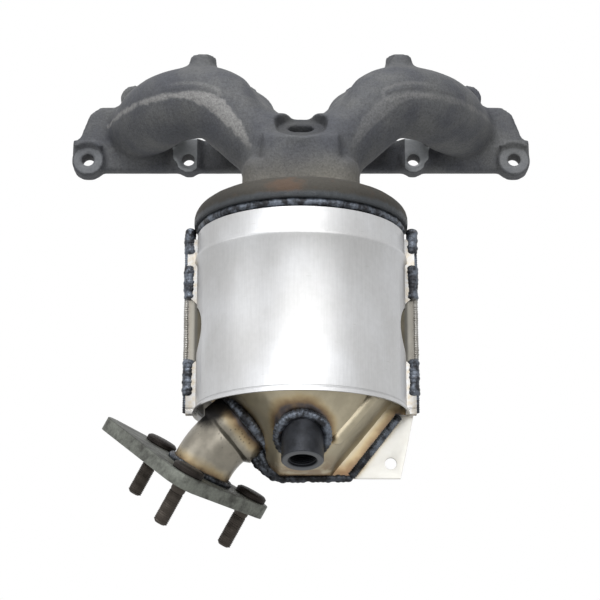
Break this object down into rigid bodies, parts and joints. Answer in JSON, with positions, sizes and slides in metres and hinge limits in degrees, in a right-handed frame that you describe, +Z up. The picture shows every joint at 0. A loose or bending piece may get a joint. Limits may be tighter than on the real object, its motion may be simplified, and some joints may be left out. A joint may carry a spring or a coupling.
{
  "type": "manifold catalytic converter",
  "caption": "Cast exhaust manifold with a round welded converter can under its neck, heat shields, sensor bung, bracket plate and a short bent outlet pipe with a studded flange.",
  "frame": {"origin": "centre of the head flange's mating face, at port height", "axes": "X along the head flange, +Y out of the mating face into the engine, +Z up along the can"},
  "size_m": [0.342, 0.1625, 0.3596],
  "materials": {
    "casting": "rough sand cast",
    "weld": "as welded",
    "shell": "heat tinted sheet",
    "ceramic": "matt ceramic",
    "mat": "fibre mat",
    "shield": "satin sheet",
    "bung": "turned, heat darkened",
    "pipe": "satin tube",
    "flange": "cut plate",
    "stud": "phosphate",
    "bracket": "satin sheet"
  },
  "bodies": {
    "root": {"manifold_casting": "casting", "collar_weld": "weld", "front_shell": "shell", "rear_shell": "shell", "left_seam_weld": "weld", "right_seam_weld": "weld", "diagonal_seam_weld": "weld", "bottom_seam_weld": "weld", "upper_monolith": "ceramic", "lower_monolith": "ceramic", "upper_support_mat": "mat", "lower_support_mat": "mat", "front_heat_shield": "shield", "rear_heat_shield": "shield", "left_tack_welds": "weld", "right_tack_welds": "weld", "sensor_bung": "bung", "bung_weld": "weld", "outlet_pipe": "pipe", "pipe_root_weld": "weld", "outlet_flange": "flange", "flange_weld": "weld", "left_outlet_stud": "stud", "front_outlet_stud": "stud", "right_outlet_stud": "stud", "support_bracket": "bracket", "bracket_weld": "weld"}
  },
  "joints": []
}
